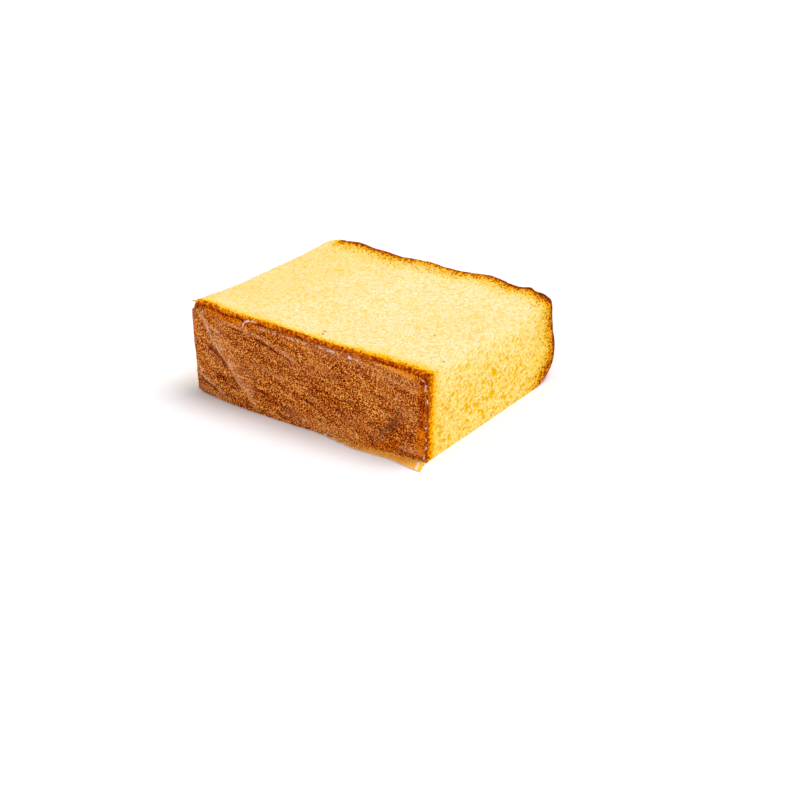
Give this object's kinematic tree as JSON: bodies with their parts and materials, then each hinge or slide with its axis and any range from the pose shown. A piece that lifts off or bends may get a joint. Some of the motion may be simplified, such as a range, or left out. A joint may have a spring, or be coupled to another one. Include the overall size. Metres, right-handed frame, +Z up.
{
  "type": "castella sponge cake slice",
  "caption": "Thick slice of castella sponge cake lying on a cut face, with pale fine crumb, a browned domed top crust and a strip of baking paper on the base crust.",
  "frame": {"origin": "on the supporting surface, under the centre of the slice's bounding box", "axes": "+X along the long side of the slice, -Y towards the papered base crust, +Y towards the domed top crust, +Z up through the thickness of the slice"},
  "size_m": [0.0906, 0.0826, 0.0298],
  "materials": {
    "sponge": "soft matte cake crumb, finely porous, browned to a thin crust on the top and base sides",
    "baking_paper": "thin greased translucent paper, satin, stained brown by the base crust"
  },
  "bodies": {
    "root": {"sponge": "sponge", "baking_paper": "baking_paper"}
  },
  "joints": []
}
